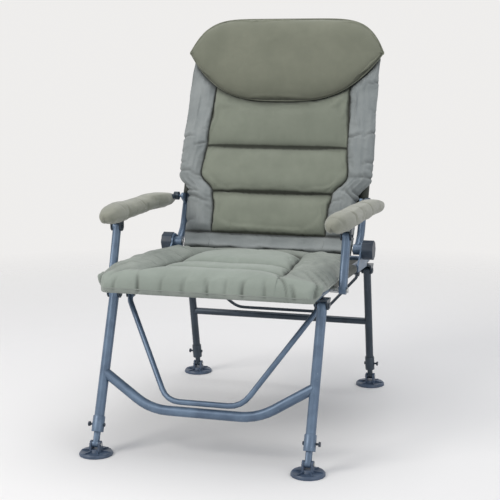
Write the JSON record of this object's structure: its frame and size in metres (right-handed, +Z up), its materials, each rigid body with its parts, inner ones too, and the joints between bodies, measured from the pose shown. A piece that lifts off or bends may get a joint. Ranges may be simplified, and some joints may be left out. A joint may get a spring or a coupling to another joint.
{
  "type": "folding carp fishing chair",
  "caption": "Folding reclining fishing chair with padded seat, back and headrest, linked armrests, telescopic legs and swivelling mud feet.",
  "frame": {"origin": "on the floor, in the middle of the chair's bounding box", "axes": "+Z up; the sitter faces -Y; +X is to the right for someone who looks at the chair from the front"},
  "size_m": [0.666, 0.9174, 1.0695],
  "materials": {
    "frame_paint": "slate-blue hammered powder coat, satin, with scuffed edges",
    "dark_frame_paint": "darker slate powder coat, satin",
    "bright_steel": "zinc-plated rivets, bolts and pins",
    "black_plastic": "black moulded nylon, fine grain",
    "foot_plastic": "blue-grey moulded plastic, slightly glossy, muddy in the ribs",
    "panel_fabric": "olive-grey brushed peach-skin fleece",
    "headrest_fabric": "darker olive brushed fleece",
    "border_fabric": "satin nylon, gathered along its seams",
    "armrest_fabric": "pale olive brushed fleece",
    "sling_fabric": "dark green-grey woven polyester"
  },
  "bodies": {
    "seat": {"seat_rail_left": "frame_paint", "seat_rail_right": "frame_paint", "seat_front_tube": "frame_paint", "seat_rear_tube": "frame_paint", "seat_sling": "sling_fabric", "seat_cushion": "border_fabric", "front_bracket_left": "dark_frame_paint", "front_bracket_right": "dark_frame_paint", "rear_bracket_left": "dark_frame_paint", "rear_bracket_right": "dark_frame_paint", "recliner_plate_left": "frame_paint", "recliner_plate_right": "frame_paint", "recliner_bolt_left": "bright_steel", "recliner_bolt_right": "bright_steel", "post_bolt_left": "bright_steel", "post_bolt_right": "bright_steel"},
    "back": {"back_frame": "frame_paint", "back_cross_tube": "frame_paint", "back_sling": "sling_fabric", "back_cushion": "panel_fabric", "headrest_cushion": "headrest_fabric", "back_lower_band": "border_fabric"},
    "front_legs": {"front_leg_left": "frame_paint", "front_leg_right": "frame_paint", "front_cross_tube": "frame_paint", "front_collar_left": "black_plastic", "front_collar_right": "black_plastic"},
    "rear_legs": {"rear_leg_left": "dark_frame_paint", "rear_leg_right": "dark_frame_paint", "rear_cross_bar": "dark_frame_paint", "rear_collar_left": "black_plastic", "rear_collar_right": "black_plastic"},
    "front_bail": {"front_bail": "frame_paint"},
    "rear_bail": {"rear_bail": "dark_frame_paint"},
    "armrest_left": {"armrest_frame_left": "dark_frame_paint", "armrest_pad_left": "armrest_fabric"},
    "armrest_post_left": {"armrest_post_left": "frame_paint"},
    "recliner_knob_left": {"recliner_knob_left": "black_plastic"},
    "armrest_right": {"armrest_frame_right": "dark_frame_paint", "armrest_pad_right": "armrest_fabric"},
    "armrest_post_right": {"armrest_post_right": "frame_paint"},
    "recliner_knob_right": {"recliner_knob_right": "black_plastic"},
    "front_inner_leg_left": {"front_inner_leg_left": "frame_paint"},
    "front_mud_foot_left": {"front_mud_foot_left": "foot_plastic", "front_foot_pin_left": "bright_steel"},
    "front_lock_pin_left": {"front_lock_pin_left": "bright_steel"},
    "front_inner_leg_right": {"front_inner_leg_right": "frame_paint"},
    "front_mud_foot_right": {"front_mud_foot_right": "foot_plastic", "front_foot_pin_right": "bright_steel"},
    "front_lock_pin_right": {"front_lock_pin_right": "bright_steel"},
    "rear_inner_leg_left": {"rear_inner_leg_left": "dark_frame_paint"},
    "rear_mud_foot_left": {"rear_mud_foot_left": "foot_plastic", "rear_foot_pin_left": "bright_steel"},
    "rear_lock_pin_left": {"rear_lock_pin_left": "bright_steel"},
    "rear_inner_leg_right": {"rear_inner_leg_right": "dark_frame_paint"},
    "rear_mud_foot_right": {"rear_mud_foot_right": "foot_plastic", "rear_foot_pin_right": "bright_steel"},
    "rear_lock_pin_right": {"rear_lock_pin_right": "bright_steel"}
  },
  "joints": [
    {"name": "back_recline", "type": "hinge", "parent": "seat", "child": "back", "pos_m": [0, 0.19261, 0.43602], "axis": [1, 0, 0], "range_deg": [-45, 72], "deforming": ["back_lower_band"]},
    {"name": "armrest_pivot_left", "type": "hinge", "parent": "back", "child": "armrest_left", "pos_m": [0, 0.23261, 0.56402], "axis": [1, 0, 0], "range_deg": [-72, 45]},
    {"name": "armrest_post_pivot_left", "type": "hinge", "parent": "seat", "child": "armrest_post_left", "pos_m": [0, -0.20661, 0.40354], "axis": [1, 0, 0], "range_deg": [-45, 72]},
    {"name": "recliner_knob_turn_left", "type": "hinge", "parent": "seat", "child": "recliner_knob_left", "pos_m": [0, 0.19261, 0.43602], "axis": [-1, 0, 0], "range_deg": [0, 180]},
    {"name": "armrest_pivot_right", "type": "hinge", "parent": "back", "child": "armrest_right", "pos_m": [0, 0.23261, 0.56402], "axis": [1, 0, 0], "range_deg": [-72, 45]},
    {"name": "armrest_post_pivot_right", "type": "hinge", "parent": "seat", "child": "armrest_post_right", "pos_m": [0, -0.20661, 0.40354], "axis": [1, 0, 0], "range_deg": [-45, 72]},
    {"name": "recliner_knob_turn_right", "type": "hinge", "parent": "seat", "child": "recliner_knob_right", "pos_m": [0, 0.19261, 0.43602], "axis": [1, 0, 0], "range_deg": [0, 180]},
    {"name": "front_legs_fold", "type": "hinge", "parent": "seat", "child": "front_legs", "pos_m": [0, -0.27745, 0.37776], "axis": [1, 0, 0], "range_deg": [0, 104]},
    {"name": "rear_legs_fold", "type": "hinge", "parent": "seat", "child": "rear_legs", "pos_m": [0, 0.30223, 0.35854], "axis": [-1, 0, 0], "range_deg": [0, 66]},
    {"name": "front_bail_swing", "type": "hinge", "parent": "seat", "child": "front_bail", "pos_m": [0, -0.22273, 0.36803], "axis": [1, 0, 0], "range_deg": [0, 86]},
    {"name": "rear_bail_swing", "type": "hinge", "parent": "seat", "child": "rear_bail", "pos_m": [0, 0.24229, 0.36142], "axis": [-1, 0, 0], "range_deg": [0, 56]},
    {"name": "front_leg_extend_left", "type": "slide", "parent": "front_legs", "child": "front_inner_leg_left", "axis": [0, 0.3681, 0.9298], "range_m": [-0.1, 0]},
    {"name": "front_mud_foot_left_tilt", "type": "hinge", "parent": "front_inner_leg_left", "child": "front_mud_foot_left", "pos_m": [0, -0.41672, 0.026], "axis": [1, 0, 0], "range_deg": [-25, 25]},
    {"name": "front_lock_pin_left_press", "type": "slide", "parent": "front_legs", "child": "front_lock_pin_left", "axis": [1, 0, 0], "range_m": [0, 0.006], "stiffness_N_per_m": 300, "springref_m": -0.001},
    {"name": "front_leg_extend_right", "type": "slide", "parent": "front_legs", "child": "front_inner_leg_right", "axis": [0, 0.3681, 0.9298], "range_m": [-0.1, 0]},
    {"name": "front_mud_foot_right_tilt", "type": "hinge", "parent": "front_inner_leg_right", "child": "front_mud_foot_right", "pos_m": [0, -0.41672, 0.026], "axis": [1, 0, 0], "range_deg": [-25, 25]},
    {"name": "front_lock_pin_right_press", "type": "slide", "parent": "front_legs", "child": "front_lock_pin_right", "axis": [-1, 0, 0], "range_m": [0, 0.006], "stiffness_N_per_m": 300, "springref_m": -0.001},
    {"name": "rear_leg_extend_left", "type": "slide", "parent": "rear_legs", "child": "rear_inner_leg_left", "axis": [0, -0.2164, 0.9763], "range_m": [-0.1, 0]},
    {"name": "rear_mud_foot_left_tilt", "type": "hinge", "parent": "rear_inner_leg_left", "child": "rear_mud_foot_left", "pos_m": [0, 0.37595, 0.026], "axis": [1, 0, 0], "range_deg": [-25, 25]},
    {"name": "rear_lock_pin_left_press", "type": "slide", "parent": "rear_legs", "child": "rear_lock_pin_left", "axis": [1, 0, 0], "range_m": [0, 0.006], "stiffness_N_per_m": 300, "springref_m": -0.001},
    {"name": "rear_leg_extend_right", "type": "slide", "parent": "rear_legs", "child": "rear_inner_leg_right", "axis": [0, -0.2164, 0.9763], "range_m": [-0.1, 0]},
    {"name": "rear_mud_foot_right_tilt", "type": "hinge", "parent": "rear_inner_leg_right", "child": "rear_mud_foot_right", "pos_m": [0, 0.37595, 0.026], "axis": [1, 0, 0], "range_deg": [-25, 25]},
    {"name": "rear_lock_pin_right_press", "type": "slide", "parent": "rear_legs", "child": "rear_lock_pin_right", "axis": [-1, 0, 0], "range_m": [0, 0.006], "stiffness_N_per_m": 300, "springref_m": -0.001}
  ],
  "couplings": [
    {"joint": "armrest_pivot_left", "follows": "back_recline", "ratio": -1},
    {"joint": "armrest_post_pivot_left", "follows": "back_recline", "ratio": 1},
    {"joint": "armrest_pivot_right", "follows": "back_recline", "ratio": -1},
    {"joint": "armrest_post_pivot_right", "follows": "back_recline", "ratio": 1},
    {"joint": "front_bail_swing", "follows": "front_legs_fold", "ratio": 0.82},
    {"joint": "rear_bail_swing", "follows": "rear_legs_fold", "ratio": 0.84}
  ]
}
